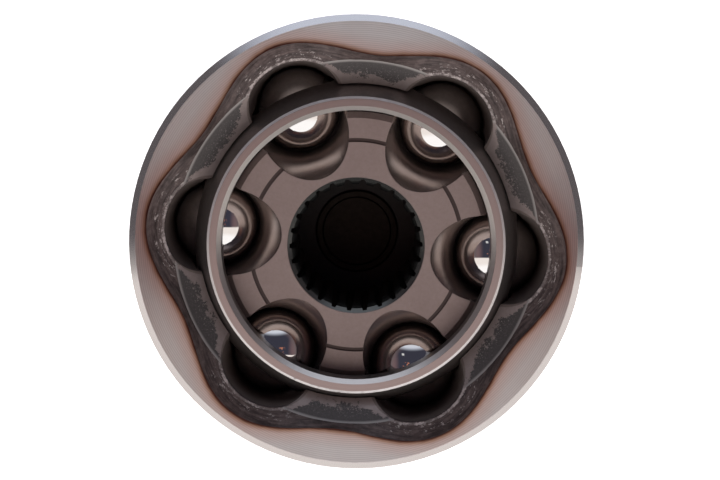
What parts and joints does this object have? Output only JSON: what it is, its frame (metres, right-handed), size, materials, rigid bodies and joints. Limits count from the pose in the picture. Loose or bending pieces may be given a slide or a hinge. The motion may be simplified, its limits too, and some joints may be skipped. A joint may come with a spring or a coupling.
{
  "type": "constant velocity joint",
  "caption": "Fixed ball-type constant-velocity joint: bell with splined stub axle, ball cage, splined inner race and bearing balls; it bends while it turns.",
  "frame": {"origin": "centre of articulation, where the bell axis, the cage centre and the inner race centre meet", "axes": "+Z along the bell axis, out of the mouth; +X through ball 1; the stub axle points down -Z"},
  "size_m": [0.093, 0.093, 0.1465],
  "materials": {
    "forged_steel": "turned and ground forging with heat tint",
    "race_steel": "matte case-hardened",
    "cage_steel": "dark hardened, bright turned edges",
    "ball_steel": "polished",
    "plug_steel": "pressed, oily",
    "sintered_iron": "sintered, satin",
    "plated_sheet": "zinc-plated sheet"
  },
  "bodies": {
    "outer_race": {"outer_race": "forged_steel", "floor_plug": "plug_steel", "tone_ring": "sintered_iron", "dust_shield": "plated_sheet"},
    "inner_race": {"inner_race": "race_steel"},
    "cage": {"cage": "cage_steel"},
    "ball_1": {"ball_1": "ball_steel"},
    "ball_2": {"ball_2": "ball_steel"},
    "ball_3": {"ball_3": "ball_steel"},
    "ball_4": {"ball_4": "ball_steel"},
    "ball_5": {"ball_5": "ball_steel"},
    "ball_6": {"ball_6": "ball_steel"}
  },
  "joints": [
    {"name": "shaft_tilt", "type": "hinge", "parent": "outer_race", "child": "inner_race", "pos_m": [0, 0, 0], "axis": [1, 0, 0], "range_deg": [-50.6, 39.4]},
    {"name": "cage_tilt", "type": "hinge", "parent": "outer_race", "child": "cage", "pos_m": [0, 0, 0], "axis": [1, 0, 0], "range_deg": [-25.35, 19.75]},
    {"name": "ball_1_roll", "type": "hinge", "parent": "outer_race", "child": "ball_1", "pos_m": [0.03, 0, 0], "axis": [1, 0, 0], "range_deg": [-25.35, 19.75]},
    {"name": "ball_2_run", "type": "hinge", "parent": "outer_race", "child": "ball_2", "pos_m": [0, 0, 0.0032], "axis": [0.866, -0.5, 0], "range_deg": [-22.25, 17.35]},
    {"name": "ball_3_run", "type": "hinge", "parent": "outer_race", "child": "ball_3", "pos_m": [0, 0, 0.0032], "axis": [0.866, 0.5, 0], "range_deg": [-22.25, 17.35]},
    {"name": "ball_4_roll", "type": "hinge", "parent": "outer_race", "child": "ball_4", "pos_m": [-0.03, 0, 0], "axis": [1, 0, 0], "range_deg": [-25.35, 19.75]},
    {"name": "ball_5_run", "type": "hinge", "parent": "outer_race", "child": "ball_5", "pos_m": [0, 0, 0.0032], "axis": [-0.866, 0.5, 0], "range_deg": [-17.35, 22.25]},
    {"name": "ball_6_run", "type": "hinge", "parent": "outer_race", "child": "ball_6", "pos_m": [0, 0, 0.0032], "axis": [-0.866, -0.5, 0], "range_deg": [-17.35, 22.25]}
  ],
  "couplings": [
    {"joint": "cage_tilt", "follows": "shaft_tilt", "ratio": 0.5},
    {"joint": "ball_1_roll", "follows": "shaft_tilt", "ratio": 0.5},
    {"joint": "ball_2_run", "follows": "shaft_tilt", "ratio": 0.4385},
    {"joint": "ball_3_run", "follows": "shaft_tilt", "ratio": 0.4385},
    {"joint": "ball_4_roll", "follows": "shaft_tilt", "ratio": 0.5},
    {"joint": "ball_5_run", "follows": "shaft_tilt", "ratio": -0.4385},
    {"joint": "ball_6_run", "follows": "shaft_tilt", "ratio": -0.4385}
  ]
}
